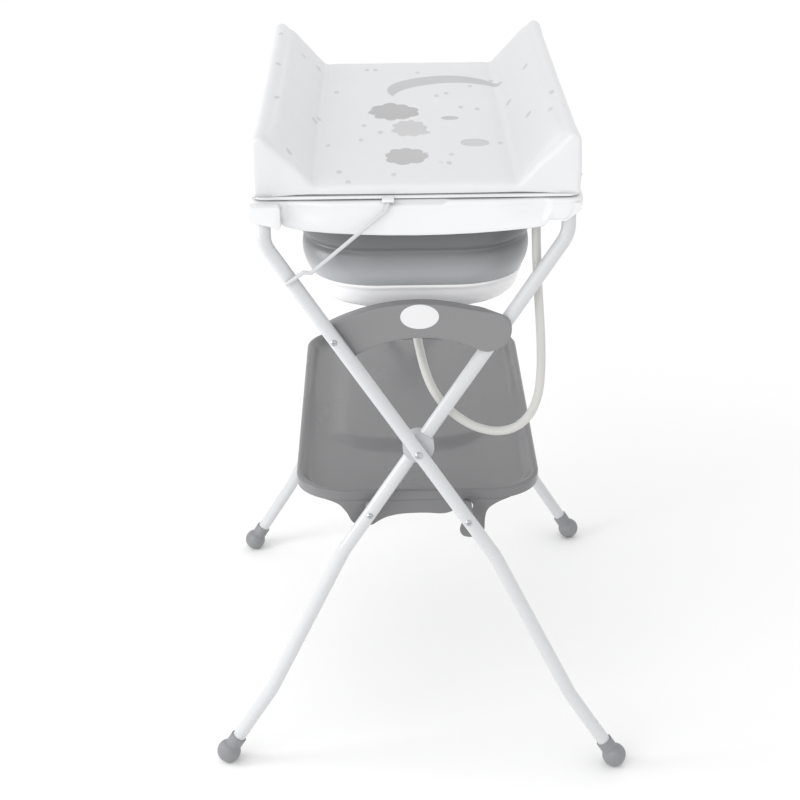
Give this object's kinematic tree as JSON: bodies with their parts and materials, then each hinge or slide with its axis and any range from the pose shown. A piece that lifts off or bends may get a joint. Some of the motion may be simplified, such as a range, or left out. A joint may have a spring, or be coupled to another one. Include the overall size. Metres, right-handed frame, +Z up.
{
  "type": "folding baby bath and changing table",
  "caption": "Folding changing table: wedge-sided mat over a collapsible tub on crossed tube legs, with a low shelf, grey brace and drain hose.",
  "frame": {"origin": "on the floor, under the middle of the table", "axes": "+X across the table towards the drain hose side, +Y along the table away from the brace end, +Z up"},
  "size_m": [0.6919, 0.88, 1.096],
  "materials": {
    "tube_paint": "gloss",
    "bar_paint": "satin",
    "white_plastic": "gloss",
    "badge_white": "gloss",
    "grey_plastic": "satin",
    "brace_grey": "satin",
    "tray_grey": "satin",
    "foot_rubber": "matte",
    "fastener_steel": "satin",
    "band_rubber": "satin",
    "base_grey": "gloss",
    "hose_clear": "satin",
    "mat_cover": "satin PVC"
  },
  "bodies": {
    "outer_frame": {"outer_leg_front": "tube_paint", "outer_leg_rear": "tube_paint", "outer_top_bar": "tube_paint", "outer_low_bar": "bar_paint", "outer_bar_plugs": "grey_plastic", "outer_feet": "foot_rubber", "outer_top_caps": "white_plastic", "pivot_rivets": "fastener_steel", "outer_low_screws": "fastener_steel", "brace_screw": "fastener_steel"},
    "inner_frame": {"inner_upper_front": "tube_paint", "inner_upper_rear": "tube_paint", "inner_lower_front": "tube_paint", "inner_lower_rear": "tube_paint", "pivot_hubs": "grey_plastic", "inner_low_bar": "bar_paint", "inner_bar_plugs": "grey_plastic", "inner_feet": "foot_rubber", "inner_low_screws": "fastener_steel", "inner_top_caps": "white_plastic"},
    "tub": {"tub_rim": "white_plastic", "rim_saddles": "white_plastic", "rim_hinge_lugs": "white_plastic", "mat_hinge_pins": "fastener_steel", "hose_clip": "white_plastic", "tub_band": "band_rubber", "drain_hose": "hose_clear"},
    "tub_bottom": {"tub_base": "base_grey", "drain_outlet": "grey_plastic"},
    "plug": {"drain_plug": "grey_plastic"},
    "mat": {"mat_board": "white_plastic", "mat_hinge_leaves": "white_plastic", "mat_pad": "mat_cover", "bolster_left": "mat_cover", "bolster_right": "mat_cover"},
    "brace": {"brace_cover": "brace_grey", "brace_badge": "badge_white"},
    "stay": {"stay_rod": "tube_paint"},
    "shelf": {"shelf_tray": "tray_grey", "shelf_aprons": "tray_grey", "shelf_hooks": "tray_grey", "shelf_clips": "tray_grey"}
  },
  "joints": [
    {"name": "frame_fold", "type": "hinge", "parent": "outer_frame", "child": "inner_frame", "pos_m": [0, 0, 0.585], "axis": [0, -1, 0], "range_deg": [0, 40]},
    {"name": "tub_tilt", "type": "hinge", "parent": "outer_frame", "child": "tub", "pos_m": [-0.23, 0, 0.975], "axis": [0, -1, 0], "range_deg": [0, 97]},
    {"name": "tub_collapse", "type": "slide", "parent": "tub", "child": "tub_bottom", "axis": [0, 0, 1], "range_m": [0, 0.08], "deforming": ["tub_band"]},
    {"name": "plug_pull", "type": "slide", "parent": "tub_bottom", "child": "plug", "axis": [0, 0, 1], "range_m": [0, 0.03]},
    {"name": "mat_lift", "type": "hinge", "parent": "tub", "child": "mat", "pos_m": [0.257, 0, 0.9905], "axis": [0, 1, 0], "range_deg": [0, 100]},
    {"name": "brace_swing", "type": "hinge", "parent": "outer_frame", "child": "brace", "pos_m": [-0.1285, -0.42, 0.777], "axis": [0, -1, 0], "range_deg": [0, 85]},
    {"name": "stay_swing", "type": "hinge", "parent": "outer_frame", "child": "stay", "pos_m": [-0.197, -0.42, 0.875], "axis": [0, 1, 0], "range_deg": [0, 70]},
    {"name": "shelf_fold", "type": "hinge", "parent": "inner_frame", "child": "shelf", "pos_m": [-0.0785, 0, 0.466], "axis": [0, -1, 0], "range_deg": [0, 41]}
  ],
  "couplings": [
    {"joint": "tub_tilt", "follows": "frame_fold", "ratio": 2.4},
    {"joint": "brace_swing", "follows": "frame_fold", "ratio": 2.1},
    {"joint": "shelf_fold", "follows": "frame_fold", "ratio": 1}
  ]
}
